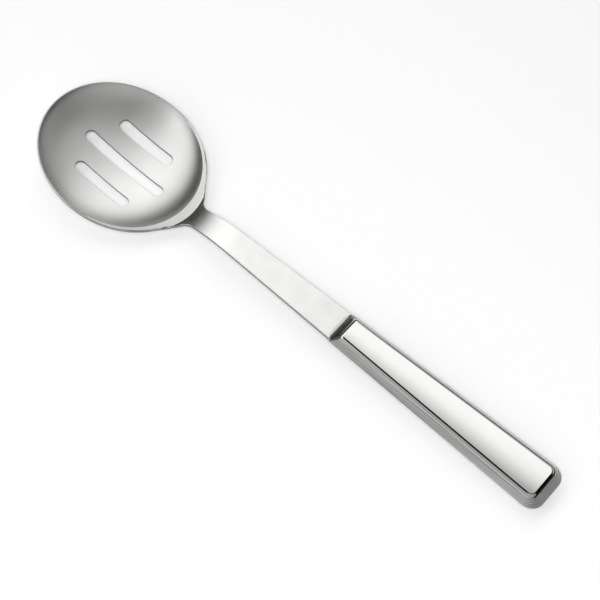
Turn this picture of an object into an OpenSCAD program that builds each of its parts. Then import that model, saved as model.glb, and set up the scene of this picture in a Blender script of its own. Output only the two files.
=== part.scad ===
// Slotted serving spoon with a hollow handle.
// The spoon lies as it rests on a table: bowl towards -X, handle end towards +X, table at z = 0.

/* [Overall] */
// Length from the bowl's tip to the handle's end
overall_length = 299; // [260:1:340]
// Downward slope of stem and handle towards the handle's end, in degrees
stem_slope = 1.45; // [1:0.05:2]

/* [Bowl] */
// Length of the bowl over its rim
bowl_length = 86.8; // [76:0.2:96]
// Width of the bowl over its rim
bowl_width = 72.8; // [62:0.2:84]
// Depth of the dish below the rim
bowl_depth = 9; // [8:0.25:10.5]
// Thickness of the sheet at the bottom of the bowl
bowl_sheet = 1.6; // [1.2:0.1:2.2]
// Width of the flat ground rim
rim_land = 0.5; // [0.3:0.1:2]
// Height of the upright edge below the ground rim
rim_edge = 1.5; // [0.8:0.1:2]
// Upward tilt of the rim towards the tip, in degrees
rim_tilt = 6.5; // [5.5:0.25:7.5]
// Semi-axes of the dish's ellipsoid as a share of the rim's semi-axes
dish_axis_share = 1.06; // [1.03:0.01:1.15]

/* [Slots] */
// Width of each slot
slot_width = 5.8; // [5:0.1:7.5]
// Length of the middle slot
middle_slot_length = 49; // [36:0.5:56]
// Length of each side slot
side_slot_length = 33; // [24:0.5:40]
// Distance between the middle lines of neighbouring slots
slot_spacing = 15.3; // [11:0.1:18]
// Distance of the slots' middle behind the bowl's middle
slot_setback = 1; // [0:0.25:4]

/* [Stem] */
// Thickness of the stem
stem_thickness = 2; // [1.6:0.1:2.6]
// Width of the stem where it levels out behind the bowl
neck_width = 12.4; // [10:0.2:14]
// Width of the stem where it enters the handle
mouth_width = 16; // [13:0.2:16.4]
// Radius of the bend that levels the stem out
crest_radius = 70; // [50:1:90]
// Radius of the fold where the stem leaves the rim
fold_radius = 4; // [2:0.25:8]
// Angle of the crease where the fold starts, in degrees
fold_crease = 14; // [8:1:18]
// Breadth of the oval that the fold follows, as a share of its length
fold_oval_share = 0.78; // [0.74:0.01:0.8]
// How far behind the crescent the neck's straight sides run out on the stem
neck_reach = 3; // [2:0.25:6]
// Radius in plan between the neck's straight sides and the stem
neck_fillet = 6; // [3:0.5:12]
// Length of the flat crescent behind the dish
crescent_length = 4.2; // [3:0.2:5.4]
// Radius in plan of the dish's rear edge, which the crescent lies behind
crescent_radius = 50.5; // [44:0.5:60]
// How far the crescent stands out behind the bowl's oval
crescent_bulge = 1; // [0.6:0.1:1.6]
// Length of rim that thickens towards the neck
rim_swell_length = 26; // [15:1:35]
// Length of the tang inside the handle
tang_length = 46; // [25:1:80]
// Width of the tang
tang_width = 9; // [6:0.5:11]

/* [Handle] */
// Length of the handle along its seam
handle_length = 119.8; // [95:0.2:140]
// Width over the seam at the mouth
handle_front_width = 17.4; // [17:0.2:20]
// Width over the seam at the end
handle_end_width = 24.3; // [20:0.1:30]
// Depth between the two flat panels
handle_depth = 12.2; // [9:0.1:16]
// Length of the sloped shoulder at the mouth
shoulder_length = 5.75; // [4:0.25:10]
// Flare of the long sides from panel to seam
side_flare = 3; // [1.5:0.1:4.5]
// Flare of the end from panel to seam
end_flare = 4.3; // [1.5:0.1:6]
// Radius of the panel's edges
edge_radius = 1.3; // [0.9:0.1:2]
// Radius in plan of the corners at the end
end_corner_radius = 4.8; // [2:0.1:7]
// Radius in plan of the corners at the mouth
mouth_corner_radius = 1.2; // [1:0.1:2]
// Wall of the pressed half shells
shell_wall = 0.8; // [0.5:0.05:0.85]

/* [Welds] */
// Height of the ground bead between the half shells
seam_bead = 0.6; // [0.3:0.1:1.2]
// Radius of the weld fillet between shoulder and stem
mouth_fillet = 4; // [2:0.25:6]
// Gap between the stem and the mouth of the shells
mouth_gap = 0.05; // [0.02:0.01:0.1]

/* [Hidden] */
$fn = 96;
corner_steps = 32;
edge_steps = 4;
// Cuts run past the material by this much
overrun = 20;
// Thickness of the plates that a handle form is stretched over
plate = 0.02;
// Angle by which neighbouring arcs of the stem's side view run into each other, in degrees
arc_lap = 1;
fillet_steps = 360;
// Angle through which the stem's side view is swept, in degrees
sweep_angle = 120;

half_depth = handle_depth / 2;
mouth_x = -handle_length;
tang_end_x = mouth_x + tang_length;
half_slot = slot_width / 2;

// The stem frame has its origin on the seam at the handle's end and its X axis along the stem.
end_x = overall_length / 2;
end_z = half_depth * cos(stem_slope) - edge_inset(half_depth, end_flare, 0) * sin(stem_slope);

// The bowl frame has its origin at the rim's middle and the rim in its XY plane.
dish_rise_share = sqrt(dish_axis_share * dish_axis_share - 1);
dish_cap_share = dish_axis_share - dish_rise_share;
outer_depth = bowl_depth + bowl_sheet;
// The outside of the bowl would run past the rim's oval by this share, and is cut off there.
edge_rise_share = dish_rise_share + rim_edge * dish_cap_share / outer_depth;
outer_share = 1 / sqrt(dish_axis_share * dish_axis_share - edge_rise_share * edge_rise_share);
outer_length = outer_share * bowl_length;
outer_width = outer_share * bowl_width;
belly_reach = norm([
    dish_axis_share * outer_length / 2 * sin(rim_tilt),
    dish_axis_share * outer_depth / dish_cap_share * cos(rim_tilt)
]);
rim_x = bowl_length / 2 * cos(rim_tilt) + rim_edge * sin(rim_tilt) - overall_length / 2;
rim_z = belly_reach - dish_rise_share * outer_depth / dish_cap_share * cos(rim_tilt);

// The bowl seen from the stem frame
bowl_tilt = rim_tilt - stem_slope;
bowl_x = (rim_x - end_x) * cos(stem_slope) - (rim_z - end_z) * sin(stem_slope);
bowl_z = (rim_x - end_x) * sin(stem_slope) + (rim_z - end_z) * cos(stem_slope);

// The dish ends on the ground rim and, at the neck, on the flat crescent.
crescent_end = bowl_length / 2 + crescent_bulge;
dish_rear = crescent_end - crescent_length;

// In the bowl frame the fold starts where the crescent ends, and the crest arc follows it.
// The crest then meets the stem's upper face, which climbs at the bowl's tilt.
fold_centre = [crescent_end - fold_radius * sin(fold_crease), fold_radius * cos(fold_crease)];
fold_height = bowl_z - fold_centre[0] * sin(bowl_tilt) + fold_centre[1] * cos(bowl_tilt);
climb = acos((fold_height - stem_thickness / 2 + crest_radius) / (crest_radius + fold_radius));
root_climb = climb + bowl_tilt;
crest_centre = fold_centre + (crest_radius + fold_radius) * [sin(root_climb), -cos(root_climb)];
crest_x = bowl_x + crest_centre[0] * cos(bowl_tilt) + crest_centre[1] * sin(bowl_tilt);

// The fold follows an oval round the bowl's middle, and ends where that oval meets the rim's.
function oval_gap(a, b) = 1 / (a * a) - 1 / (b * b);
fold_breadth = fold_oval_share * crescent_end;
corner_ratio = sqrt(oval_gap(bowl_length / 2, crescent_end) / oval_gap(fold_breadth, bowl_width / 2));
fold_corner_x = 1 / norm([1 / crescent_end, corner_ratio / fold_breadth]);

// Width of the handle over its seam, half of it, at a place along the handle
function half_width(x) =
    handle_end_width / 2 + (handle_front_width - handle_end_width) / 2 * x / mouth_x;

// Width of the stem, half of it, on its straight taper
function half_stem(x) =
    neck_width / 2 + (mouth_width - neck_width) / 2 * (x - crest_x) / (mouth_x - crest_x);

// How far the handle's skin stands inside its seam line at height z above the seam.
// The flare is straight and ends in the rounded edge of the panel.
function edge_inset(z, flare, wall) =
    let (top = half_depth - wall,
         slope = atan2(half_depth, flare),
         radius = max(edge_radius - wall, wall / 2),
         straight = z / tan(slope) + wall / sin(slope),
         centre = top / tan(slope) + wall / sin(slope) + radius * tan(slope / 2),
         lift = z - top + radius)
    lift <= radius * cos(slope) ? straight : centre - sqrt(max(radius * radius - lift * lift, 0));

module on_table() {
    translate([end_x, 0, end_z]) rotate([0, stem_slope, 0]) children();
}

module at_bowl() {
    translate([bowl_x, 0, bowl_z]) rotate([0, bowl_tilt, 0]) children();
}

// Ellipsoid that passes through a rim of the given length and width and reaches the given depth
module dish(length, width, depth) {
    translate([0, 0, dish_rise_share * depth / dish_cap_share])
        scale([length / 2, width / 2, depth / dish_cap_share])
            sphere(dish_axis_share);
}

module slot(length) {
    linear_extrude(2 * overrun, center = true) {
        square([length - slot_width, slot_width], center = true);
        for (end = [-1, 1]) translate([end * (length - slot_width) / 2, 0]) circle(half_slot);
    }
}

// Ring between two radii, from one angle to another
module arc_band(inner, outer, from, to) {
    reach = outer / cos((to - from) / 2);
    intersection() {
        difference() {
            circle(outer);
            circle(inner);
        }
        polygon([[0, 0], reach * [cos(from), sin(from)], reach * [cos(to), sin(to)]]);
    }
}

// Side view of the stem in the bowl frame: fold, crest and straight stem
module stem_profile() {
    translate(fold_centre)
        arc_band(fold_radius, fold_radius + stem_thickness, -90, root_climb - 90 + arc_lap);
    translate(crest_centre) {
        arc_band(crest_radius - stem_thickness, crest_radius, 90 + bowl_tilt - arc_lap, 90 + root_climb);
        rotate(bowl_tilt) translate([0, crest_radius - stem_thickness])
            square([tang_end_x - crest_x, stem_thickness]);
    }
}

// Side view of the rim that thickens towards the neck
module swell_profile() {
    polygon([[crescent_end - rim_swell_length, 0], [crescent_end, 0], [crescent_end, -stem_thickness]]);
}

// The stem swept round the fold's oval, from the corners of the fold backwards
module stem_sweep() {
    intersection() {
        scale([1, fold_oval_share, 1]) rotate([0, 0, -sweep_angle / 2])
            rotate_extrude(angle = sweep_angle) stem_profile();
        translate([fold_corner_x, -bowl_width, -overall_length])
            cube([overall_length, 2 * bowl_width, 2 * overall_length]);
    }
}

// Plan of the stem and its tang, from the middle of the bowl to the tang's end
module stem_plan() {
    seat_x = mouth_x + shoulder_length;
    tang_x = seat_x + mouth_width - tang_width;
    half_plan = [
        [bowl_x, half_stem(bowl_x)], [seat_x, half_stem(seat_x)],
        [tang_x, tang_width / 2], [tang_end_x, tang_width / 2]
    ];
    polygon([for (p = half_plan) p, for (i = [3:-1:0]) [half_plan[i][0], -half_plan[i][1]]]);
}

// Plan of the rim's oval with the neck, whose straight sides leave the rim and run out on the stem
module neck_plan() {
    neck_x = bowl_x + (crescent_end + neck_reach) * cos(bowl_tilt);
    hull() {
        translate([bowl_x, 0]) scale([bowl_length / 2 * cos(bowl_tilt), bowl_width / 2]) circle(1);
        polygon([[bowl_x, 0], [neck_x, half_stem(neck_x)], [neck_x, -half_stem(neck_x)]]);
    }
}

// Plan of the whole blank, with a fillet on each side of the neck
module blank_plan() {
    offset(r = -neck_fillet) offset(r = neck_fillet) {
        neck_plan();
        stem_plan();
    }
}

module stem_solid() {
    intersection() {
        at_bowl() {
            rotate([90, 0, 0]) linear_extrude(bowl_width, center = true) swell_profile();
            stem_sweep();
        }
        linear_extrude(2 * overrun, center = true) blank_plan();
    }
}

module bowl_solid() {
    at_bowl() intersection() {
        dish(outer_length, outer_width, outer_depth);
        translate([0, 0, -2 * outer_depth]) linear_extrude(2 * outer_depth)
            scale([bowl_length / 2, bowl_width / 2]) circle(1);
    }
}

// Inside of the dish: the rim's oval less the ground rim, and a wider round that ends it at the crescent
module dish_hollow() {
    intersection() {
        dish(bowl_length - 2 * rim_land, bowl_width - 2 * rim_land, bowl_depth);
        translate([dish_rear - crescent_radius, 0, 0])
            dish(2 * crescent_radius, 2 * crescent_radius, bowl_depth * 2 * crescent_radius / bowl_length);
    }
}

// Outside of the handle, or its hollow when a wall is given
module handle_form(wall) {
    top = half_depth - wall;
    radius = max(edge_radius - wall, wall / 2);
    rise = [0, for (i = [0:edge_steps]) top - radius + radius * sin(90 * i / edge_steps)];
    hull() for (z = rise, side = [-1, 1], up = [-1, 1]) {
        corners = [
            [mouth_x + edge_inset(z, shoulder_length, wall), 1, mouth_corner_radius],
            [-edge_inset(z, end_flare, wall), -1, end_corner_radius]
        ];
        for (c = corners) {
            x = c[0] + c[1] * c[2];
            y = half_width(c[0]) - edge_inset(z, side_flare, wall) - c[2];
            translate([x, side * y, up * (z - plate / 2)])
                cylinder(h = plate, r = c[2], center = true, $fn = corner_steps);
        }
    }
}

// Slab across the handle between two heights above the seam
module slab(low, high) {
    translate([mouth_x - overrun, -handle_end_width, low])
        cube([handle_length + 2 * overrun, 2 * handle_end_width, high - low]);
}

// The pressed skin of the handle between two heights, open at the mouth for the stem
module handle_skin(low, high) {
    intersection() {
        difference() {
            handle_form(0);
            handle_form(shell_wall);
            translate([0, 0, -stem_thickness / 2 - mouth_gap])
                linear_extrude(stem_thickness + 2 * mouth_gap) offset(delta = mouth_gap) stem_plan();
        }
        slab(low, high);
    }
}

// Weld fillet in the corner between the stem's upper face and the shoulder
module mouth_bead() {
    slope = atan2(half_depth, shoulder_length);
    leg = mouth_fillet * tan(slope / 2);
    foot = mouth_x + stem_thickness / 2 / tan(slope);
    top = stem_thickness / 2 + leg * sin(slope);
    half_bead = half_width(mouth_x) - edge_inset(top, side_flare, 0) - mouth_corner_radius;
    rotate([90, 0, 0]) linear_extrude(2 * half_bead, center = true)
        translate([foot, stem_thickness / 2])
            difference() {
                polygon([[0, 0], leg * [cos(slope), sin(slope)], [-leg, 0]]);
                translate([-leg, mouth_fillet]) circle(mouth_fillet, $fn = fillet_steps);
            }
}

module spoon_blank() {
    color("gainsboro") on_table() difference() {
        union() {
            bowl_solid();
            stem_solid();
        }
        at_bowl() {
            dish_hollow();
            translate([slot_setback, 0, 0]) {
                slot(middle_slot_length);
                for (side = [-1, 1]) translate([0, side * slot_spacing, 0]) slot(side_slot_length);
            }
        }
    }
}

module handle_upper_shell() {
    color("silver") on_table() handle_skin(seam_bead / 2, handle_depth);
}

module handle_lower_shell() {
    color("silver") on_table() handle_skin(-handle_depth, -seam_bead / 2);
}

module seam_weld() {
    color("darkgray") on_table() handle_skin(-seam_bead / 2, seam_bead / 2);
}

module mouth_weld() {
    color("darkgray") on_table() for (flip = [0, 1]) mirror([0, 0, flip]) mouth_bead();
}

spoon_blank();
handle_upper_shell();
handle_lower_shell();
seam_weld();
mouth_weld();
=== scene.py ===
"""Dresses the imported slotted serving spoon: satin blank, polished hollow handle, ground welds and stage."""
import math
from types import SimpleNamespace

import bmesh
import bpy
from bpy.props import FloatProperty, FloatVectorProperty, PointerProperty
from mathutils import Matrix, Vector


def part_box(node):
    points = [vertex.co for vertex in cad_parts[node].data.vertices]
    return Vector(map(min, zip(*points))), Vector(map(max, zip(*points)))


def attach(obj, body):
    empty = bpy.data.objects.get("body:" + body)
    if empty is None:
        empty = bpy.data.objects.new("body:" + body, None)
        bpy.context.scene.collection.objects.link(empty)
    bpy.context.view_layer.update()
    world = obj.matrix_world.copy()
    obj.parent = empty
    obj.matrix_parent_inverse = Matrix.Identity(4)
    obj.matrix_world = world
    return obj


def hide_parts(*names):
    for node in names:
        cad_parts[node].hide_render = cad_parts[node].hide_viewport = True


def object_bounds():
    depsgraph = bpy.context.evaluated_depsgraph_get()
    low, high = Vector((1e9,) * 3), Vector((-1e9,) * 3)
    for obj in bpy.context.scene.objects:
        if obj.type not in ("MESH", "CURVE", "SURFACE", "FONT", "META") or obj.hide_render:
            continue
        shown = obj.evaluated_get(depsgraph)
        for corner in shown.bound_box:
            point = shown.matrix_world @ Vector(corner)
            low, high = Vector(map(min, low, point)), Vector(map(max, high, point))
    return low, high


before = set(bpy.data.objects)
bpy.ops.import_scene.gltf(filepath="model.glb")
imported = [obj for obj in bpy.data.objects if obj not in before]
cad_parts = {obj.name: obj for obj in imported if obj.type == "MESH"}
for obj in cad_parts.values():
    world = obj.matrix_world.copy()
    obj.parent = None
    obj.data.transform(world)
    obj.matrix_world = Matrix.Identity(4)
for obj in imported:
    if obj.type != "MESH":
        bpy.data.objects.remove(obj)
CAD_BOX = [list(corner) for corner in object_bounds()]
BLANK_LOW, BLANK_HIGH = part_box("spoon_blank")
SEAM_LOW, SEAM_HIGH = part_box("seam_weld")

bl_info = {
    "name": "Slotted serving spoon",
    "version": (1, 0, 0),
    "blender": (4, 5, 0),
    "location": "3D View > Sidebar > Spoon",
    "description": "Builds the dressed model of a slotted serving spoon with a hollow handle",
    "category": "Object",
}

MM = 0.001


def linear(hex_code):
    """Linear colour of an sRGB hex code such as C8C9CA."""
    parts = [int(hex_code[i:i + 2], 16) / 255 for i in (0, 2, 4)]
    return tuple(c / 12.92 if c <= 0.04045 else ((c + 0.055) / 1.055) ** 2.4 for c in parts)


def length(name, default, description):
    """A length in metres, given in millimetres."""
    return FloatProperty(name=name, description=description, default=default * MM, unit="LENGTH", precision=5)


def angle(name, default, description):
    """An angle in radians, given in degrees."""
    return FloatProperty(name=name, description=description, default=math.radians(default), subtype="ANGLE")


def colour(name, hex_code, description):
    """A linear colour, given as an sRGB hex code."""
    return FloatVectorProperty(
        name=name, description=description, subtype="COLOR", size=3, min=0, max=1, default=linear(hex_code))


class SpoonBlankSizes(bpy.types.PropertyGroup):
    """Sizes of the pressed blank: bowl, slots and stem."""
    bowl_length: length("Bowl length", 86.8, "Length of the bowl over its rim")
    bowl_depth: length("Bowl depth", 9.0, "Depth of the dish below the rim")
    bowl_sheet: length("Bowl sheet", 1.6, "Thickness of the sheet at the bottom of the bowl")
    rim_land: length("Rim land", 0.8, "Width of the ground rim")
    rim_round: length("Rim round", 0.25, "Radius of the rounded upper edge of rim, neck and stem")
    under_round: length("Under round", 0.3, "Radius of the rounded lower edge of rim, neck and stem")
    rim_edge: length("Rim edge", 1.9, "Height of the upright edge below the ground rim")
    rim_tilt: angle("Rim tilt", 6.5, "Upward tilt of the rim towards the tip")
    dish_axis_share: FloatProperty(
        name="Dish axis share", default=1.06,
        description="Semi-axes of the dish's ellipsoid as a share of the rim's")
    slot_width: length("Slot width", 5.8, "Width of each slot")
    middle_slot: length("Middle slot", 49.0, "Length of the middle slot")
    side_slot: length("Side slot", 33.0, "Length of each side slot")
    slot_spacing: length("Slot spacing", 15.3, "Distance between the middle lines of neighbouring slots")
    slot_setback: length("Slot setback", 1.0, "Distance of the slots' middle behind the bowl's middle")
    slot_margin: length("Slot margin", 1.2, "Strip of mesh that rounds off each slot's ends")
    stem_thickness: length("Stem thickness", 2.0, "Thickness of the stem")
    stem_slope: angle("Stem slope", 1.45, "Downward slope of stem and handle towards the handle's end")
    neck_width: length("Neck width", 12.4, "Width of the stem where it levels out")
    mouth_width: length("Mouth width", 16.0, "Width of the stem where it enters the handle")
    crest_radius: length("Crest radius", 70.0, "Radius of the bend that levels the stem out")
    fold_radius: length("Fold radius", 4.0, "Radius of the fold where the stem leaves the rim")
    fold_crease: angle("Fold crease", 14.0, "Angle of the crease where the fold starts")
    fold_oval_share: FloatProperty(
        name="Fold oval share", default=0.78,
        description="Breadth of the oval that the fold follows, as a share of its length")
    neck_reach: length("Neck reach", 3.0, "How far behind the crescent the neck's sides run out on the stem")
    neck_fillet: length("Neck fillet", 6.0, "Radius in plan between the neck's straight sides and the stem")
    crescent_length: length("Crescent length", 4.0, "Length of the flat crescent behind the dish")
    crescent_bulge: length("Crescent bulge", 1.0, "How far the crescent stands out behind the bowl's oval")
    rim_swell: length("Rim swell", 26.0, "Length of rim that thickens towards the neck")
    tang_length: length("Tang length", 46.0, "Length of the tang inside the handle")
    tang_width: length("Tang width", 9.0, "Width of the tang")
    edge_break: length("Edge break", 0.18, "Width of the broken edges of the slots")


class SpoonHandleSizes(bpy.types.PropertyGroup):
    """Sizes of the hollow handle and its welds."""
    handle_length: length("Handle length", 119.8, "Length of the handle along its seam")
    front_width: length("Front width", 17.4, "Width over the seam at the mouth")
    end_width: length("End width", 24.3, "Width over the seam at the end")
    depth: length("Depth", 12.2, "Depth between the two flat panels")
    shoulder: length("Shoulder", 4.75, "Length of the sloped shoulder at the mouth")
    side_flare: length("Side flare", 3.0, "Flare of the long sides from panel to seam")
    end_flare: length("End flare", 4.3, "Flare of the end from panel to seam")
    edge_radius: length("Edge radius", 2.0, "Radius of the panel's long edges")
    end_corner: length("End corner", 6.0, "Radius in plan of the end's corners at the seam")
    panel_corner: length("Panel corner", 3.4, "Radius in plan of the end's corners at the panel")
    mouth_corner: length("Mouth corner", 1.4, "Radius in plan of the corners at the mouth")
    shell_wall: length("Shell wall", 0.8, "Wall of the pressed half shells")
    panel_crown: length("Panel crown", 0.3, "How much the middle of a panel stands above its long edges")
    polish_line: length("Polish line", 4.7, "Height above the seam where the polish starts")
    seam_bead: length("Seam bead", 0.6, "Height of the ground bead between the half shells")
    seam_break: length("Seam break", 0.22, "Width of the rounding along the seam's ridge")
    mouth_fillet: length("Mouth fillet", 4.0, "Radius of the weld fillet between shoulder and stem")
    mouth_gap: length("Mouth gap", 0.05, "Gap between the stem and the mouth of the shells")


class SpoonFinish(bpy.types.PropertyGroup):
    """Colours of the steel finishes and of the stage; the dish's colour carries painted light, and the darker
    steels painted shade.
    """
    satin_steel: colour("Satin steel", "CECECC", "Reflected colour of the satin stem")
    # The dish's colour is lighter than the stem's steel: painted light.
    dish_steel_painted_light: colour("Dish steel", "DADAD8", "Reflected colour of the satin dish")
    polished_steel: colour("Polished steel", "C4C4C3", "Reflected colour of the polished handle")
    ground_steel: colour("Ground steel", "B0B0AE", "Reflected colour of the ground rim and welds")
    # The outer edge's colour is darker than the steel's: painted shade.
    edge_steel_painted_shade: colour("Edge steel", "82827F", "Reflected colour of the bowl's upright outer edge")
    # The brushed sides' colour is darker than the polished steel's: painted shade.
    brushed_steel_painted_shade: colour("Brushed steel", "9E9E9C", "Reflected colour of the handle's brushed sides")
    # The sheared walls' colour is darker than the steel's: painted shade.
    cut_steel_painted_shade: colour("Cut steel", "7C7C7A", "Reflected colour of the sheared walls of slots and stem")
    # The shoulder's colour is darker than the polished steel's: painted shade.
    shoulder_steel_painted_shade: colour("Shoulder steel", "747472", "Reflected colour of the handle's shoulder")
    floor: colour("Floor", "FAFAFA", "Colour of the plain floor")


def blank_form(sizes):
    """Places on the blank that follow from its sizes.

    The bowl frame has the rim in its UV plane, with U towards the handle.
    """
    f = SimpleNamespace()
    f.half_length = sizes.bowl_length / 2
    f.half_breadth = (BLANK_HIGH.y - BLANK_LOW.y) / 2
    f.rise = math.sqrt(sizes.dish_axis_share ** 2 - 1)
    f.cap = sizes.dish_axis_share - f.rise
    f.outer_depth = sizes.bowl_depth + sizes.bowl_sheet
    edge_rise = f.rise + sizes.rim_edge * f.cap / f.outer_depth
    f.outer_share = 1 / math.sqrt(sizes.dish_axis_share ** 2 - edge_rise ** 2)
    f.crescent_end = f.half_length + sizes.crescent_bulge
    f.dish_length = f.half_length - sizes.rim_land
    f.dish_breadth = f.half_breadth - sizes.rim_land
    f.rear_length = f.crescent_end - sizes.crescent_length
    f.tilt = sizes.rim_tilt - sizes.stem_slope

    def oval_gap(a, b):
        return 1 / a ** 2 - 1 / b ** 2

    fold_breadth = sizes.fold_oval_share * f.crescent_end
    ratio = math.sqrt(oval_gap(f.half_length, f.crescent_end) / oval_gap(fold_breadth, f.half_breadth))
    f.fold_corner = 1 / math.hypot(1 / f.crescent_end, ratio / fold_breadth)
    rim = Vector((
        BLANK_LOW.x + f.half_length * math.cos(sizes.rim_tilt) + sizes.rim_edge * math.sin(sizes.rim_tilt), 0,
        BLANK_HIGH.z - f.half_length * math.sin(sizes.rim_tilt)))
    f.to_part = Matrix.Translation(rim) @ Matrix.Rotation(sizes.rim_tilt, 4, "Y")
    handle = bpy.context.scene.spoon_handle
    f.to_stem = stem_matrix(sizes, handle).inverted() @ f.to_part
    f.mouth_x = -handle.handle_length
    f.seat_x = f.mouth_x + handle.shoulder
    f.tang_end = f.mouth_x + sizes.tang_length
    f.fold_centre = Vector((f.crescent_end - sizes.fold_radius * math.sin(sizes.fold_crease),
                            sizes.fold_radius * math.cos(sizes.fold_crease)))
    reach = sizes.crest_radius + sizes.fold_radius
    height = (f.to_stem @ Vector((f.fold_centre.x, 0, f.fold_centre.y))).z
    f.climb = f.tilt + math.acos((height - sizes.stem_thickness / 2 + sizes.crest_radius) / reach)
    f.crest_centre = f.fold_centre + reach * Vector((math.sin(f.climb), -math.cos(f.climb)))
    f.crest_x = (f.to_stem @ Vector((f.crest_centre.x, 0, f.crest_centre.y))).x
    return f


def stem_matrix(sizes, handle):
    """Places the stem frame: origin on the seam at the handle's end, X along the stem."""
    slope = sizes.stem_slope
    half = handle.depth / 2
    turn = math.atan2(half, handle.end_flare)
    inset = half / math.tan(turn) + handle.edge_radius * math.tan(turn / 2)
    end = BLANK_LOW.x + CAD_BOX[1][0] - CAD_BOX[0][0]
    place = Vector((end, 0, half * math.cos(slope) - inset * math.sin(slope)))
    return Matrix.Translation(place) @ Matrix.Rotation(slope, 4, "Y")


def dish_height(sizes, form, ring, depth):
    """Height of an ellipsoid dish under its rim; ring is 0 in the middle and 1 on the rim."""
    inside = max(sizes.dish_axis_share ** 2 - ring * ring, 0)
    return -depth * (math.sqrt(inside) - form.rise) / form.cap


def dish_ring(form, u, v):
    """Place in the dish as a share of its outline, an egg whose half towards the crescent is shorter."""
    half_length = form.rear_length if u > 0 else form.dish_length
    return math.hypot(u / half_length, v / form.dish_breadth)


def stem_height(sizes, form, reach, under):
    """Height of the stem's upper face, or of the face that lies under it, at a reach from the bowl."""
    fold, crest = sizes.fold_radius + under, sizes.crest_radius - under
    fold_end = form.fold_centre.x + fold * math.sin(form.climb)
    crest_end = form.crest_centre.x - crest * math.sin(form.tilt)
    if reach <= fold_end:
        return form.fold_centre.y - math.sqrt(fold ** 2 - (reach - form.fold_centre.x) ** 2)
    if reach <= crest_end:
        return form.crest_centre.y + math.sqrt(crest ** 2 - (reach - form.crest_centre.x) ** 2)
    level = form.crest_centre.y + crest * math.cos(form.tilt)
    return level + (reach - crest_end) * math.tan(form.tilt)


def fold_reach(sizes, u, v):
    """Length of the fold's oval that passes through a place in plan."""
    return math.hypot(u, v / sizes.fold_oval_share)


def upper_face(sizes, form, u, v):
    """Height of the blank's upper face in the bowl frame."""
    reach = fold_reach(sizes, u, v)
    if u > form.fold_corner and reach >= form.crescent_end - 1e-7:
        return stem_height(sizes, form, max(reach, form.crescent_end), 0)
    return dish_height(sizes, form, min(dish_ring(form, u, v), 1), sizes.bowl_depth)


def under_face(sizes, form, u, v):
    """Height of the blank's under face in the bowl frame."""
    swell = (u - form.crescent_end + sizes.rim_swell) / sizes.rim_swell
    thick = max(sizes.rim_edge, sizes.stem_thickness * min(swell, 1))
    reach = fold_reach(sizes, u, v)
    if u > form.fold_corner and reach >= form.crescent_end - 1e-7:
        return stem_height(sizes, form, max(reach, form.crescent_end), thick)
    ring = math.hypot(u / form.half_length, v / form.half_breadth) / form.outer_share
    return min(dish_height(sizes, form, ring, form.outer_depth), -thick if swell > 0 else 0)


def half_stem(sizes, form, u):
    """Half the width of stem and tang at a place along the bowl frame's U axis."""
    x = (form.to_stem @ Vector((u, 0, upper_face(sizes, form, u, 0)))).x
    taper = (sizes.mouth_width - sizes.neck_width) / 2 / (form.mouth_x - form.crest_x)
    width = sizes.neck_width / 2 + taper * (min(x, form.seat_x) - form.crest_x)
    return max(width - max(x - form.seat_x, 0) / 2, sizes.tang_width / 2)


def neck_outline(sizes, form):
    """The neck's outline on its +V side: where it leaves the rim, meets the fillet and the stem."""
    n = SimpleNamespace()
    u = form.crescent_end + sizes.neck_reach
    corner = Vector((u, half_stem(sizes, form, u)))
    flat = Vector((corner.x / form.half_length, corner.y / form.half_breadth))
    turn = math.atan2(flat.y, flat.x) + math.acos(1 / flat.length)
    n.rim = Vector((form.half_length * math.cos(turn), form.half_breadth * math.sin(turn)))
    n.way = (corner - n.rim).normalized()
    stem_way = (Vector((2 * u, half_stem(sizes, form, 2 * u))) - corner).normalized()
    half_turn = (math.atan2(stem_way.y, stem_way.x) - math.atan2(n.way.y, n.way.x)) / 2
    reach = sizes.neck_fillet * math.tan(half_turn)
    n.fillet_start = corner - n.way * reach
    n.fillet_end = corner + stem_way * reach
    n.fillet_middle = n.fillet_end + Vector((-stem_way.y, stem_way.x)) * sizes.neck_fillet
    return n


def half_outline(sizes, form, neck, u):
    """Half the width of the blank's outline behind the place where the neck leaves the rim."""
    if u >= neck.fillet_end.x:
        return half_stem(sizes, form, u)
    if u >= neck.fillet_start.x:
        return neck.fillet_middle.y - math.sqrt(sizes.neck_fillet ** 2 - (u - neck.fillet_middle.x) ** 2)
    return neck.rim.y + (u - neck.rim.x) * neck.way.y / neck.way.x


def edge_distance(sizes, form, neck, u, v):
    """Distance in plan from the blank's outline, which is right close to it."""
    if u >= neck.rim.x:
        step = 0.01 * MM
        half = half_outline(sizes, form, neck, u)
        slope = (half_outline(sizes, form, neck, u + step) - half) / step
        return (half - abs(v)) / math.hypot(1, slope)
    ring = math.hypot(u / form.half_length, v / form.half_breadth)
    steep = math.hypot(u / form.half_length ** 2, v / form.half_breadth ** 2) / max(ring, 1e-6)
    return (1 - ring) / max(steep, 1e-6)


def edge_drop(distance, radius):
    """How far a rounded edge lies below its face at a distance from the outline."""
    inside = max(radius - max(distance, 0), 0)
    return radius - math.sqrt(radius ** 2 - inside ** 2)


def row_end(sizes, form, neck, reach):
    """Half the breadth of the row of mesh that follows the fold's oval of the given reach."""
    low, high = 0.0, neck.rim.y
    for _ in range(50):
        v = (low + high) / 2
        u = math.sqrt(reach ** 2 - (v / sizes.fold_oval_share) ** 2)
        if v < half_outline(sizes, form, neck, u):
            low = v
        else:
            high = v
    return (low + high) / 2


def open_edges(bm):
    """Edges on the mesh's open borders."""
    return [e for e in bm.edges if len(e.link_faces) == 1]


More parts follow.
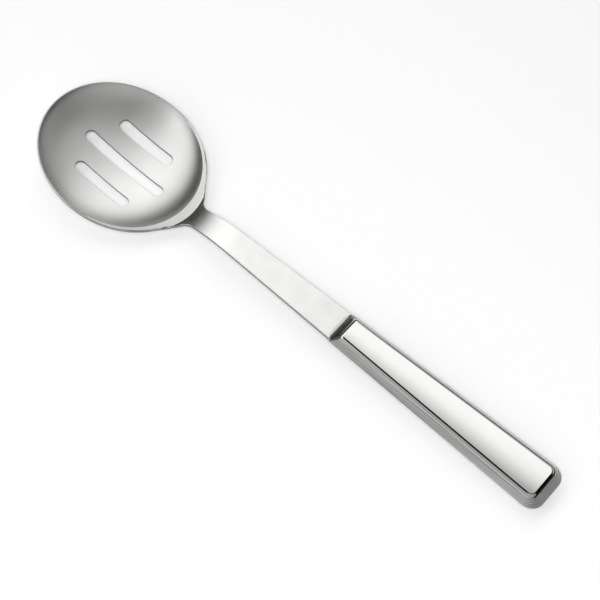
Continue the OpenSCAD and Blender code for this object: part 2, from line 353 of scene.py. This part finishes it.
def push_border(bm, edges, place, in_order=False):
    """Extrudes border edges by one row.

    place says where each new vertex goes, from its old place or, in order, from its rank in Y.
    """
    made = bmesh.ops.extrude_edge_only(bm, edges=edges)["geom"]
    verts = [g for g in made if isinstance(g, bmesh.types.BMVert)]
    if in_order:
        verts.sort(key=lambda vert: vert.co.y)
    for rank, vert in enumerate(verts):
        vert.co = place(rank / (len(verts) - 1)) if in_order else place(vert.co.copy())
    new = set(verts)
    return [e for e in made if isinstance(e, bmesh.types.BMEdge) and e.verts[0] in new and e.verts[1] in new]


def mesh_piece(bm, name, materials, sharp_angle):
    """Turns a bmesh into a smooth-shaded object whose edges over the given angle stay sharp."""
    for face in bm.faces:
        face.smooth = True
    for edge in bm.edges:
        edge.smooth = len(edge.link_faces) != 2 or edge.calc_face_angle(0) < sharp_angle
    mesh = bpy.data.meshes.new(name)
    bm.to_mesh(mesh)
    bm.free()
    for material in materials:
        mesh.materials.append(material)
    piece = bpy.data.objects.new(name, mesh)
    bpy.context.scene.collection.objects.link(piece)
    return piece


def cut_slot(bm, sizes, middle, slot_length):
    """Opens one round-ended slot in the flat grid round a middle place."""
    half, radius = slot_length / 2, sizes.slot_width / 2
    reach = Vector((half + sizes.slot_margin, radius + sizes.slot_margin))
    inside = []
    for face in bm.faces:
        offset = face.calc_center_median().xy - middle
        if abs(offset.x) < reach.x and abs(offset.y) < reach.y:
            inside.append(face)
    before = set(open_edges(bm))
    bmesh.ops.delete(bm, geom=inside, context="FACES")

    def outline(co):
        offset = co.xy - middle
        axis = Vector((max(-(half - radius), min(half - radius, offset.x)), 0))
        place = middle + axis + (offset - axis).normalized() * radius
        return Vector((place.x, place.y, 0))

    border = [e for e in open_edges(bm) if e not in before]
    border = push_border(bm, border, lambda co: co.lerp(outline(co), 0.5))
    return push_border(bm, border, outline)


def build_blank(sizes, form):
    """Models the blank in plan, then lifts its upper and under faces to their heights."""
    bm = bmesh.new()
    # The block of square cells holds the slots, with a strip round them. Rings of mesh lead on to the rim.
    block = Vector((sizes.middle_slot / 2 + 3.1 * MM, sizes.slot_spacing + sizes.slot_width / 2 + 1.8 * MM))
    cell = 0.6 * MM
    cells = [round(2 * side / cell) for side in block]
    bmesh.ops.create_grid(bm, x_segments=cells[0], y_segments=cells[1], size=1)
    bmesh.ops.scale(bm, vec=(block.x, block.y, 1), verts=bm.verts)
    bmesh.ops.translate(bm, vec=(sizes.slot_setback, 0, 0), verts=bm.verts)
    rim = open_edges(bm)
    kept = set()
    for row, slot_length in ((-1, sizes.side_slot), (0, sizes.middle_slot), (1, sizes.side_slot)):
        border = cut_slot(bm, sizes, Vector((sizes.slot_setback, row * sizes.slot_spacing)), slot_length)
        kept.update(v for e in border for v in e.verts)

    def dish_rim(co):
        return co / dish_ring(form, co.x, co.y)

    def rim_oval(co):
        way = Vector((co.x / form.half_length, co.y / form.half_breadth)).normalized()
        return Vector((way.x * form.half_length, way.y * form.half_breadth, 0))

    rows = 18
    for row in range(rows):
        share = 1 / (rows - row)
        rim = push_border(bm, rim, lambda co: co.lerp(dish_rim(co), share))
    kept.update(v for e in rim for v in e.verts)
    loose = [v for v in bm.verts if v not in kept]
    for _ in range(12):
        bmesh.ops.smooth_vert(bm, verts=loose, factor=0.5, use_axis_x=True, use_axis_y=True)
    # The rounded edge is drawn in rings or columns at equal angles of its quarter circle.
    steps = 8
    rounding = [1 - math.cos(math.pi / 2 * k / steps) for k in range(steps, -1, -1)]
    for near, far in zip(rounding, rounding[1:]):
        rim = push_border(bm, rim, lambda co: co.lerp(rim_oval(co), 1 - far / near))

    outline = neck_outline(sizes, form)
    neck = [e for e in rim if all(v.co.x > 0 and abs(v.co.y) <= outline.rim.y for v in e.verts)]
    reaches = [form.crescent_end]
    tang = (form.to_stem.inverted() @ Vector((form.tang_end, 0, 0))).x
    # The rows of mesh are close in the fold and wider apart along the crest and the straight stem.
    while reaches[-1] < tang - 1e-6:
        past = reaches[-1] - form.crescent_end
        step = (0.22 if past < 3 * MM else 0.6 if past < 18 * MM else 1.2 if past < 36 * MM else 3.5) * MM
        reaches.append(min(reaches[-1] + step, tang))
    for reach in reaches:
        end = row_end(sizes, form, outline, reach)
        flank = end - sizes.rim_round
        columns = len(neck) / 2

        def along_oval(rank):
            column = abs(2 * rank - 1) * columns
            past = column - (columns - steps)
            v = flank * column / (columns - steps)
            if past > 0:
                low = min(int(past), steps - 1)
                share = rounding[low] + (rounding[low + 1] - rounding[low]) * (past - low)
                v = end - sizes.rim_round * share
            u = math.sqrt(reach ** 2 - (v / sizes.fold_oval_share) ** 2)
            return Vector((u, math.copysign(v, 2 * rank - 1), 0))

        neck = push_border(bm, neck, along_oval, in_order=True)
    lifted = bmesh.ops.extrude_face_region(bm, geom=bm.faces[:])["geom"]
    upper = {g for g in lifted if isinstance(g, bmesh.types.BMVert)}
    for vert in bm.verts:
        u, v = vert.co.xy
        distance = edge_distance(sizes, form, outline, u, v)
        if vert in upper:
            vert.co.z = upper_face(sizes, form, u, v) - edge_drop(distance, sizes.rim_round)
        else:
            vert.co.z = under_face(sizes, form, u, v) + edge_drop(distance, sizes.under_round)
    bmesh.ops.recalc_face_normals(bm, faces=bm.faces)
    return bm


def finish_faces(bm, sizes, form):
    """Numbers the materials: 0 satin dish, 1 ground rim, 2 satin stem, 3 sheared wall, 4 outer edge."""
    for face in bm.faces:
        middle = face.calc_center_median()
        ring = dish_ring(form, middle.x, middle.y)
        reach = fold_reach(sizes, middle.x, middle.y)
        upright = abs(face.normal.z) < 0.3
        stem = middle.x > form.fold_corner and reach > form.crescent_end
        sheared = upright and (stem or ring < 0.9)
        land = not stem and ring > 1 and face.normal.z > 0.9
        face.material_index = 3 if sheared else 4 if upright else 1 if land else 2 if stem else 0


def add_node(tree, kind, inputs=None, **settings):
    """Adds a node with its settings and its inputs, which are values or sockets to link."""
    node = tree.nodes.new(kind)
    for name, value in settings.items():
        setattr(node, name, value)
    for key, value in (inputs or {}).items():
        if isinstance(value, bpy.types.NodeSocket):
            tree.links.new(value, node.inputs[key])
        else:
            node.inputs[key].default_value = value
    return node


def new_material(name):
    """A material with an empty node tree and its output."""
    material = bpy.data.materials.new(name)
    material.use_nodes = True
    tree = material.node_tree
    tree.nodes.clear()
    return material, tree, add_node(tree, "ShaderNodeOutputMaterial")


def lined_finish(tree, scale, turn, detail, patch, roughness, spread, bump):
    """Adds finishing lines and broad unevenness; gives the lines' noise, the roughness and the normal."""
    place = add_node(tree, "ShaderNodeTexCoord").outputs["Object"]
    lines = add_node(tree, "ShaderNodeMapping", {"Vector": place, "Rotation": turn, "Scale": scale})
    grain = add_node(tree, "ShaderNodeTexNoise", {"Vector": lines.outputs[0], "Scale": 1.0, "Detail": detail})
    uneven = add_node(tree, "ShaderNodeTexNoise", {"Vector": place, "Scale": 1 / patch, "Detail": 2.0})
    both = add_node(tree, "ShaderNodeMath", {0: grain.outputs[0], 1: uneven.outputs[0]}, operation="ADD")
    rough = add_node(tree, "ShaderNodeMapRange", {
        "Value": both.outputs[0], "From Min": 0.6, "From Max": 1.4,
        "To Min": roughness - spread, "To Max": roughness + spread})
    ridges = add_node(tree, "ShaderNodeBump", {
        "Height": grain.outputs[0], "Strength": bump, "Distance": 0.02 * MM})
    return grain.outputs[0], rough.outputs[0], ridges.outputs[0]


def steel(name, tint, roughness, spread, line_mm, line_run, bump,
          across=(1, 1), slope=0.0, tone=0.0, painted_shade=1.0):
    """Stainless steel with fine finishing lines along the spoon, which scatter its highlights."""
    material, tree, output = new_material(name)
    # One line of the finish is line_mm wide and line_run times as long, drawn coarse enough to show.
    # The unevenness of the buffing is about 9 mm across.
    per_metre = 1 / (line_mm * MM)
    scale = (per_metre / line_run, per_metre * across[0], per_metre * across[1])
    grain, rough, normal = lined_finish(tree, scale, (0, -slope, 0), 3.0, 9 * MM, roughness, spread, bump)
    # The lines differ in brightness by the tone's share, because they catch the light unevenly.
    light = add_node(tree, "ShaderNodeMapRange", {
        "Value": grain, "From Min": 0.35, "From Max": 0.65, "To Min": 1 - tone, "To Max": 1 + tone})
    # Painted shade can darken the last millimetres of the handle's end, as they look darker in the photo.
    place = add_node(tree, "ShaderNodeTexCoord").outputs["Object"]
    end = add_node(tree, "ShaderNodeMapRange", {
        "Value": add_node(tree, "ShaderNodeSeparateXYZ", {0: place}).outputs[0],
        "From Min": SEAM_HIGH.x - 7 * MM, "From Max": SEAM_HIGH.x - 3 * MM, "To Min": 1.0, "To Max": painted_shade})
    light = add_node(tree, "ShaderNodeMath", {0: light.outputs[0], 1: end.outputs[0]}, operation="MULTIPLY")
    base = add_node(tree, "ShaderNodeVectorMath", {0: tint, "Scale": light.outputs[0]}, operation="SCALE")
    shader = add_node(tree, "ShaderNodeBsdfPrincipled", {
        "Base Color": base.outputs[0], "Metallic": 1.0, "Roughness": rough, "Normal": normal})
    tree.links.new(shader.outputs[0], output.inputs[0])
    return material


def satin_dish(name, tint, roughness, anisotropy):
    """Stainless steel buffed lengthwise; its fine lines spread the light across the bowl into soft lobes."""
    material, tree, output = new_material(name)
    # Buffing lines 0.25 mm wide and 20 mm long, drawn coarser than the real grit so that they show.
    # The unevenness of the buffing is about 11 mm across.
    per_metre = 1 / (0.25 * MM)
    scale = (per_metre / 80, per_metre, per_metre / 80)
    _, rough, normal = lined_finish(tree, scale, (0, 0, 0), 2.0, 11 * MM, roughness, 0.03, 0.06)
    across = add_node(tree, "ShaderNodeCombineXYZ", {0: 0.0, 1: 1.0, 2: 0.0})
    shader = add_node(tree, "ShaderNodeBsdfPrincipled", {
        "Base Color": (*tint, 1), "Metallic": 1.0, "Roughness": rough, "Normal": normal,
        "Anisotropic": anisotropy, "Tangent": across.outputs[0]})
    tree.links.new(shader.outputs[0], output.inputs[0])
    return material


def dress(piece, node):
    """Makes a piece ride on the spoon's body and stand for its CAD node."""
    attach(piece, "root")
    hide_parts(node)


class SPOON_OT_blank(bpy.types.Operator):
    """Builds the pressed blank: slotted bowl, ground rim, folded neck and stem"""
    bl_idname = "spoon.blank"
    bl_label = "Pressed blank"

    def execute(self, context):
        sizes, finish = context.scene.spoon_blank, context.scene.spoon_finish
        form = blank_form(sizes)
        bm = build_blank(sizes, form)
        finish_faces(bm, sizes, form)
        bmesh.ops.transform(bm, matrix=form.to_part, verts=bm.verts)
        # The dish's colour is lighter than the stem's steel: painted light that brightens its lobes.
        satin = satin_dish("stainless_steel_satin_dish_painted_light", finish.dish_steel_painted_light, roughness=0.40, anisotropy=0.75)
        # The ground rim is a bright line round the dish, and a flat bright crescent behind it.
        ground = steel("stainless_steel_ground_rim", finish.ground_steel, roughness=0.16, spread=0.03,
                       line_mm=0.12, line_run=20, bump=0.05)
        # The satin stem is an even, soft white under the light.
        stem = steel("stainless_steel_satin_stem", finish.satin_steel, roughness=0.24, spread=0.04,
                     line_mm=0.20, line_run=40, bump=0.10)
        # The sheared walls are dull, and their dark colour is painted shade, so they outline the slots and
        # the stem.
        cut = steel("stainless_steel_sheared_wall_painted_shade", finish.cut_steel_painted_shade, roughness=0.36, spread=0.05,
                    line_mm=0.15, line_run=6, bump=0.10)
        # The ground outer edge is a darker line, its dark colour painted shade, that sets the bowl off from
        # the floor.
        edge = steel("stainless_steel_ground_edge_painted_shade", finish.edge_steel_painted_shade, roughness=0.20, spread=0.04,
                     line_mm=0.12, line_run=20, bump=0.05)
        piece = mesh_piece(bm, "spoon_blank_satin", (satin, ground, stem, cut, edge), math.radians(12))
        bevel = piece.modifiers.new("edge_break", "BEVEL")
        bevel.width = sizes.edge_break
        bevel.segments = 2
        bevel.limit_method = "ANGLE"
        bevel.angle_limit = math.radians(32)
        bevel.use_clamp_overlap = False
        bevel.harden_normals = True
        dress(piece, "spoon_blank")
        return {"FINISHED"}


def whole(bm):
    """All faces, edges and vertices of a bmesh."""
    return bm.faces[:] + bm.edges[:] + bm.verts[:]


def handle_skin(sizes):
    """Outside of one half of the handle above the seam plane, open at the seam, in the stem frame."""
    half = sizes.depth / 2
    taper = (sizes.end_width - sizes.front_width) / 2 / sizes.handle_length
    bm = bmesh.new()
    bmesh.ops.create_cube(bm, size=2)
    for vert in bm.verts:
        front, top = vert.co.x < 0, vert.co.z > 0
        x = -sizes.handle_length if front else 0.0
        if top:
            x += sizes.shoulder if front else -sizes.end_flare
        y = sizes.end_width / 2 + taper * x - (sizes.side_flare if top else 0)
        vert.co = Vector((x, math.copysign(y, vert.co.y), half if top else 0))
    base = [f for f in bm.faces if f.normal.z < -0.9]
    bmesh.ops.delete(bm, geom=base, context="FACES_ONLY")
    for front, radius in ((True, sizes.mouth_corner), (False, sizes.end_corner)):
        corners = [
            e for e in bm.edges
            if abs(e.verts[0].co.z - e.verts[1].co.z) > half / 2
            and (min(v.co.x for v in e.verts) < -sizes.handle_length / 2) == front]
        bmesh.ops.bevel(bm, geom=corners, offset=radius, offset_type="OFFSET", affect="EDGES",
                        segments=8, profile=0.5, material=-1, clamp_overlap=True)
    # The end's corners get tighter from the seam up to the panel.
    wide = sizes.end_width / 2 - taper * sizes.end_flare - sizes.side_flare
    corner = Vector((-sizes.end_flare, wide, half))
    for vert in bm.verts:
        sharp = Vector((corner.x, math.copysign(corner.y, vert.co.y), corner.z))
        if vert.co.z > half / 2 and (vert.co - sharp).length < 2 * sizes.end_corner:
            vert.co = sharp.lerp(vert.co, sizes.panel_corner / sizes.end_corner)
    panel = [e for e in bm.edges if all(abs(v.co.z - half) < 1e-7 for v in e.verts)]
    bend = math.atan2(half, sizes.side_flare)
    bmesh.ops.bevel(bm, geom=panel, offset=sizes.edge_radius * math.tan(bend / 2), offset_type="OFFSET",
                    affect="EDGES", segments=10, profile=0.5, material=-1, clamp_overlap=True)
    # Lengthwise strips give the panel the mesh that its crown bends.
    strips = 12
    for k in range(1, strips):
        share = 2 * k / strips - 1
        way = Vector((1, share * taper, 0)).normalized()
        bmesh.ops.bisect_plane(
            bm, geom=whole(bm), dist=1e-7,
            plane_co=(0, share * (sizes.end_width / 2 - sizes.side_flare), 0), plane_no=(-way.y, way.x, 0))
    for vert in bm.verts:
        reach = vert.co.y / (sizes.end_width / 2 + taper * vert.co.x)
        vert.co.z -= sizes.panel_crown * (vert.co.z / half) * reach * reach
    return bm


def trim_handle(bm, sizes, blank, low, high):
    """Keeps the skin between two heights above the seam and opens its mouth for the stem."""
    for level, inner in ((low, True), (high, False)):
        bmesh.ops.bisect_plane(bm, geom=whole(bm), dist=1e-7, plane_co=(0, 0, level), plane_no=(0, 0, 1),
                               clear_inner=inner, clear_outer=not inner)
    roof = blank.stem_thickness / 2 + sizes.mouth_gap
    wide = blank.mouth_width / 2 + sizes.mouth_gap
    mouth = sizes.shoulder / 2 - sizes.handle_length

    def front():
        faces = [f for f in bm.faces if max(v.co.x for v in f.verts) < mouth + sizes.shoulder]
        return faces + list({e for f in faces for e in f.edges}) + list({v for f in faces for v in f.verts})

    for place, way in (((0, 0, roof), (0, 0, 1)), ((0, wide, 0), (0, 1, 0)), ((0, -wide, 0), (0, 1, 0))):
        bmesh.ops.bisect_plane(bm, geom=front(), dist=1e-7, plane_co=place, plane_no=way)
    opening = []
    for face in bm.faces:
        middle = face.calc_center_median()
        if middle.x < mouth and middle.z < roof and abs(middle.y) < wide:
            opening.append(face)
    bmesh.ops.delete(bm, geom=opening, context="FACES")


def thicken(bm, wall):
    """Gives an outward-facing skin its wall on the inside."""
    bmesh.ops.recalc_face_normals(bm, faces=bm.faces)
    bmesh.ops.solidify(bm, geom=bm.faces[:], thickness=wall)


class SPOON_OT_handle_shells(bpy.types.Operator):
    """Builds the two polished half shells of the hollow handle"""
    bl_idname = "spoon.handle_shells"
    bl_label = "Handle shells"

    def execute(self, context):
        scene = context.scene
        sizes, blank, finish = scene.spoon_handle, scene.spoon_blank, scene.spoon_finish
        # The polished panels are close to a mirror, with black lines along their rounded edges.
        polish = steel("stainless_steel_polished_panel", finish.polished_steel, roughness=0.10, spread=0.03,
                       line_mm=0.16, line_run=60, bump=0.06)
        # The brushed sides are a flat grey with long streaks; their darker grey is painted shade, with more
        # painted shade towards the handle's end.
        brushed = steel("stainless_steel_brushed_side_painted_shade", finish.brushed_steel_painted_shade, roughness=0.34, spread=0.06,
                        line_mm=0.6, line_run=110, bump=0.30,
                        across=(0, 1), slope=blank.stem_slope, tone=0.28, painted_shade=0.66)
        # The polished shoulder mirrors the dark end of the room, and its darker colour is painted shade, so
        # it looks close to black.
        shoulder = steel("stainless_steel_polished_shoulder_painted_shade", finish.shoulder_steel_painted_shade, roughness=0.12,
                         spread=0.03, line_mm=0.16, line_run=20, bump=0.06)
        for name, node, side in (("handle_shell_upper", "handle_upper_shell", 1),
                                 ("handle_shell_lower", "handle_lower_shell", -1)):
            bm = handle_skin(sizes)
            trim_handle(bm, sizes, blank, sizes.seam_bead / 2, sizes.depth)
            bmesh.ops.bisect_plane(bm, geom=whole(bm), dist=1e-7,
                                   plane_co=(0, 0, sizes.polish_line), plane_no=(0, 0, 1))
            thicken(bm, sizes.shell_wall)
            bmesh.ops.scale(bm, vec=(1, 1, side), verts=bm.verts)
            if side < 0:
                bmesh.ops.reverse_faces(bm, faces=bm.faces)
            # Below the polish line lie the shoulder, which faces the bowl, and the brushed sides and end.
            for face in bm.faces:
                low = abs(face.calc_center_median().z) < sizes.polish_line
                end = face.normal.x > 0.3 and abs(face.normal.z) < 0.65
                face.material_index = 2 if low and face.normal.x < -0.12 else 1 if low or end else 0
            bmesh.ops.transform(bm, matrix=stem_matrix(blank, sizes), verts=bm.verts)
            piece = mesh_piece(bm, name, (polish, brushed, shoulder), math.radians(25))
            flat = piece.modifiers.new("flat_panels", "WEIGHTED_NORMAL")
            flat.mode = "FACE_AREA"
            flat.keep_sharp = True
            dress(piece, node)
        return {"FINISHED"}


def taper_end(bm, face, foot, run):
    """Lets the end of a weld bead run out along Y, shrinking towards its toe in a quarter round."""
    steps = 6
    old = 1.0
    toe = Matrix.Translation(-foot)
    for k in range(1, steps + 1):
        size = max(math.cos(math.pi / 2 * k / steps), 0.08)
        forward = run * (math.sin(math.pi / 2 * k / steps) - math.sin(math.pi / 2 * (k - 1) / steps))
        face = bmesh.ops.extrude_discrete_faces(bm, faces=[face])["faces"][0]
        bmesh.ops.scale(bm, vec=(size / old, 1, size / old), space=toe, verts=face.verts)
        bmesh.ops.translate(bm, vec=(0, forward, 0), verts=face.verts)
        old = size


class SPOON_OT_welds(bpy.types.Operator):
    """Builds the ground seam weld round the handle and the weld fillets at its mouth"""
    bl_idname = "spoon.welds"
    bl_label = "Welds"

    def execute(self, context):
        scene = context.scene
        sizes, blank, finish = scene.spoon_handle, scene.spoon_blank, scene.spoon_finish
        # The ground seam is a thin bright line along the handle's sides.
        ground = steel("stainless_steel_ground_weld", finish.ground_steel, roughness=0.16, spread=0.04,
                       line_mm=0.12, line_run=40, bump=0.08)
        # The satin fillet runs softly from the pale stem into the dark shoulder.
        satin = steel("stainless_steel_satin_weld", finish.ground_steel, roughness=0.30, spread=0.04,
                      line_mm=0.20, line_run=40, bump=0.10)
        place = stem_matrix(blank, sizes)
        bm = handle_skin(sizes)
        bmesh.ops.mirror(bm, geom=bm.verts[:] + bm.edges[:] + bm.faces[:], axis="Z", merge_dist=1e-6)
        bmesh.ops.remove_doubles(bm, verts=bm.verts, dist=1e-6)
        bmesh.ops.recalc_face_normals(bm, faces=bm.faces)
        ridge = [e for e in bm.edges if all(abs(v.co.z) < 1e-6 for v in e.verts)]
        bmesh.ops.bevel(bm, geom=ridge, offset=sizes.seam_break, offset_type="OFFSET", affect="EDGES",
                        segments=3, profile=0.5, material=-1, clamp_overlap=True)
        trim_handle(bm, sizes, blank, -sizes.seam_bead / 2, sizes.seam_bead / 2)
        thicken(bm, sizes.shell_wall)
        bmesh.ops.transform(bm, matrix=place, verts=bm.verts)
        dress(mesh_piece(bm, "seam_weld_ground", (ground,), math.radians(40)), "seam_weld")

        half = sizes.depth / 2
        turn = math.atan2(half, sizes.shoulder)
        leg = sizes.mouth_fillet * math.tan(turn / 2)
        step = blank.stem_thickness / 2
        foot = Vector((-sizes.handle_length + step / math.tan(turn), 0, step))
        inset = (step + leg * math.sin(turn)) / math.tan(math.atan2(half, sizes.side_flare))
        reach = sizes.front_width / 2 - inset - sizes.mouth_corner
        bm = bmesh.new()
        for side in (1, -1):
            start = bm.verts.new(foot + Vector((-leg, -reach, 0)))
            arc = bmesh.ops.spin(bm, geom=[start], cent=foot + Vector((-leg, -reach, sizes.mouth_fillet)),
                                 axis=(0, -1, 0), angle=turn, steps=10)
            toe = bm.verts.new(foot + Vector((0, -reach, 0)))
            last = arc["geom_last"][0]
            bm.edges.new((last, toe))
            bm.edges.new((toe, start))
            ring = [e for e in bm.edges if not e.link_faces]
            face = bmesh.ops.contextual_create(bm, geom=ring)["faces"][0]
            grown = bmesh.ops.extrude_face_region(bm, geom=[face])["geom"]
            moved = [g for g in grown if isinstance(g, bmesh.types.BMVert)]
            bmesh.ops.translate(bm, vec=(0, 2 * reach, 0), verts=moved)
            far = [g for g in grown if isinstance(g, bmesh.types.BMFace)][0]
            for tip, way in ((face, -1), (far, 1)):
                taper_end(bm, tip, foot, way * (blank.mouth_width / 2 - 0.2 * MM - reach))
            if side > 0:
                bmesh.ops.scale(bm, vec=(1, 1, -1), verts=bm.verts)
        bmesh.ops.recalc_face_normals(bm, faces=bm.faces)
        bmesh.ops.transform(bm, matrix=place, verts=bm.verts)
        dress(mesh_piece(bm, "mouth_weld_fillets", (satin,), math.radians(25)), "mouth_weld")
        return {"FINISHED"}


def light_panel(height, radiance):
    """An overhead sheet of soft light; the steel mirrors its panes as lobes, white faces and black lines."""
    bm = bmesh.new()
    bmesh.ops.create_grid(bm, x_segments=1, y_segments=1, size=0.5)
    bmesh.ops.scale(bm, vec=(4.8, 5.2, 1), verts=bm.verts)
    bmesh.ops.translate(bm, vec=(-0.3, 0.35, height), verts=bm.verts)
    material, tree, output = new_material("overhead_light_panel")
    place = add_node(tree, "ShaderNodeTexCoord").outputs["Object"]
    axes = add_node(tree, "ShaderNodeSeparateXYZ", {0: place})

    def fade(value, start, end):
        node = add_node(tree, "ShaderNodeMapRange", {
            "Value": value, "From Min": start, "From Max": end, "To Min": 1.0, "To Max": 0.0},
            interpolation_type="SMOOTHSTEP")
        return node.outputs[0]

    def joint(first, *others):
        for other in others:
            first = add_node(tree, "ShaderNodeMath", {0: first, 1: other}, operation="MULTIPLY").outputs[0]
        return first

    def brightest(first, *others):
        for other in others:
            first = add_node(tree, "ShaderNodeMath", {0: first, 1: other}, operation="MAXIMUM").outputs[0]
        return first

    # Each fade runs from bright to dark between two places on the sheet, in metres. The strip lights the
    # handle, and its edge follows the handle's taper. main, side and near light the dish's lobes and the
    # stem. low and ceiling keep the dark parts grey, and overhead does so for the panel seen from above.
    across, up = axes.outputs["X"], axes.outputs["Y"]
    slant = add_node(tree, "ShaderNodeVectorMath", {0: place, 1: (-0.18, 1, 0)}, operation="DOT_PRODUCT")
    slant = slant.outputs["Value"]
    strip = joint(fade(across, 0.06, 0.24), fade(across, -0.7, -1.0),
                  fade(slant, 0.54, 0.22), fade(up, 0.64, 0.88))
    main = joint(fade(across, -0.60, -0.25), fade(across, -1.1, -2.0),
                 fade(up, 0.1, -0.3), fade(up, 2.3, 2.8))
    side = joint(0.5, fade(across, 0.05, 0.55), fade(across, -1.1, -2.0),
                 fade(up, 1.6, 1.1), fade(up, 2.3, 2.8))
    near = joint(0.9, fade(across, -0.60, -0.28), fade(across, -1.1, -2.0), fade(up, -0.35, -0.15))
    low = joint(0.35, fade(across, -0.5, -0.8), fade(across, 0.9, 1.4), fade(up, -0.9, -0.6))
    ceiling = joint(0.34, fade(across, 0.15, 0.0), fade(across, 1.3, 1.9),
                    brightest(fade(up, -0.45, -0.15), fade(up, 1.1, 0.85)))
    overhead = joint(0.24, fade(across, 0.30, 0.12), fade(across, 1.3, 1.9), fade(up, 0.05, 0.25))
    total = brightest(strip, main, side, near, low, ceiling, overhead)
    strength = add_node(tree, "ShaderNodeMath", {0: total, 1: radiance}, operation="MULTIPLY")
    shader = add_node(tree, "ShaderNodeEmission", {"Strength": strength.outputs[0]})
    tree.links.new(shader.outputs[0], output.inputs[0])
    panel = mesh_piece(bm, "overhead_light_panel", (material,), math.radians(30))
    panel.visible_camera = False
    panel.visible_shadow = False


def fill_light(place, target, size, radiance):
    """A soft light that fills the floor's shadows and stays out of the steel's reflections."""
    lamp = bpy.data.lights.new("fill_softbox", "AREA")
    lamp.shape = "SQUARE"
    lamp.size = size
    lamp.energy = radiance * math.pi * size * size
    box = bpy.data.objects.new("fill_softbox", lamp)
    box.location = place
    box.rotation_euler = (Vector(target) - Vector(place)).to_track_quat("-Z", "Y").to_euler()
    box.visible_glossy = False
    bpy.context.scene.collection.objects.link(box)


def white_floor(tint, glow):
    """A matt white board that the camera and the steel see close to white, with the spoon's shadow on it."""
    bm = bmesh.new()
    bmesh.ops.create_grid(bm, x_segments=1, y_segments=1, size=6)
    material, tree, output = new_material("floor_white_board")
    path = add_node(tree, "ShaderNodeLightPath")
    seen = add_node(tree, "ShaderNodeMath", {
        0: path.outputs["Is Camera Ray"], 1: path.outputs["Is Glossy Ray"]}, operation="ADD")
    seen = add_node(tree, "ShaderNodeMath", {
        0: seen.outputs[0], 1: path.outputs["Is Transmission Ray"]}, operation="ADD", use_clamp=True)
    share = add_node(tree, "ShaderNodeMath", {0: seen.outputs[0], 1: glow}, operation="MULTIPLY")
    board = add_node(tree, "ShaderNodeBsdfDiffuse", {"Color": (*tint, 1)})
    white = add_node(tree, "ShaderNodeEmission", {"Color": (1, 1, 1, 1), "Strength": 1.0})
    shader = add_node(tree, "ShaderNodeMixShader", {
        0: share.outputs[0], 1: board.outputs[0], 2: white.outputs[0]})
    tree.links.new(shader.outputs[0], output.inputs[0])
    mesh_piece(bm, "floor", (material,), math.radians(30))


class SPOON_OT_stage(bpy.types.Operator):
    """Sets the floor, the soft studio light and the camera"""
    bl_idname = "spoon.stage"
    bl_label = "Stage"

    def execute(self, context):
        scene, finish = context.scene, context.scene.spoon_finish
        scene.view_settings.view_transform = "Standard"
        white_floor(finish.floor, glow=0.15)

        world = bpy.data.worlds.new("studio")
        scene.world = world
        world.use_nodes = True
        tree = world.node_tree
        # The room is dark but for a soft glow on the near side, which the handle's side mirrors.
        way = add_node(tree, "ShaderNodeTexCoord").outputs["Generated"]
        near_side = (0.29, -0.95, 0.1)
        facing = add_node(tree, "ShaderNodeVectorMath", {0: way, 1: near_side}, operation="DOT_PRODUCT")
        glow = add_node(tree, "ShaderNodeMapRange", {
            "Value": facing.outputs["Value"], "From Min": 0.55, "From Max": 0.95,
            "To Min": 0.05, "To Max": 0.6}, interpolation_type="SMOOTHSTEP")
        room = tree.nodes["Background"]
        room.inputs["Color"].default_value = (1, 1, 1, 1)
        tree.links.new(glow.outputs[0], room.inputs["Strength"])
        light_panel(height=1.3, radiance=1.75)

        # The photo's angle, fitted to the outlines of bowl, stem and handle.
        turn, rise = math.radians(41.08), math.radians(63.68)
        back = Vector((math.sin(turn) * math.cos(rise), -math.cos(turn) * math.cos(rise), math.sin(rise)))
        target = Vector((6.07, 0, 4.76)) * MM
        fill_light(target + back * 1.2, target, size=0.4, radiance=16.2)

        camera = bpy.data.cameras.new("camera")
        camera.sensor_width = 36
        camera.lens = 91.62
        eye = bpy.data.objects.new("camera", camera)
        eye.location = target + back * 0.7
        eye.rotation_euler = (-back).to_track_quat("-Z", "Y").to_euler()
        scene.collection.objects.link(eye)
        scene.camera = eye
        return {"FINISHED"}


class SPOON_PT_panel(bpy.types.Panel):
    """Lists the steps that build the dressed spoon"""
    bl_idname = "SPOON_PT_panel"
    bl_label = "Slotted serving spoon"
    bl_space_type = "VIEW_3D"
    bl_region_type = "UI"
    bl_category = "Spoon"

    def draw(self, context):
        for step in STEPS:
            self.layout.operator(step.bl_idname)
        for group in (context.scene.spoon_blank, context.scene.spoon_handle, context.scene.spoon_finish):
            for name in group.__annotations__:
                self.layout.prop(group, name)


STEPS = (SPOON_OT_blank, SPOON_OT_handle_shells, SPOON_OT_welds, SPOON_OT_stage)
CLASSES = (SpoonBlankSizes, SpoonHandleSizes, SpoonFinish, *STEPS, SPOON_PT_panel)


def register():
    for cls in CLASSES:
        bpy.utils.register_class(cls)
    bpy.types.Scene.spoon_blank = PointerProperty(type=SpoonBlankSizes)
    bpy.types.Scene.spoon_handle = PointerProperty(type=SpoonHandleSizes)
    bpy.types.Scene.spoon_finish = PointerProperty(type=SpoonFinish)


def unregister():
    del bpy.types.Scene.spoon_finish, bpy.types.Scene.spoon_handle, bpy.types.Scene.spoon_blank
    for cls in reversed(CLASSES):
        bpy.utils.unregister_class(cls)


def main():
    register()
    bpy.ops.spoon.blank()
    bpy.ops.spoon.handle_shells()
    bpy.ops.spoon.welds()
    bpy.ops.spoon.stage()
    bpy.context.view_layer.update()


if __name__ == "__main__":
    main()
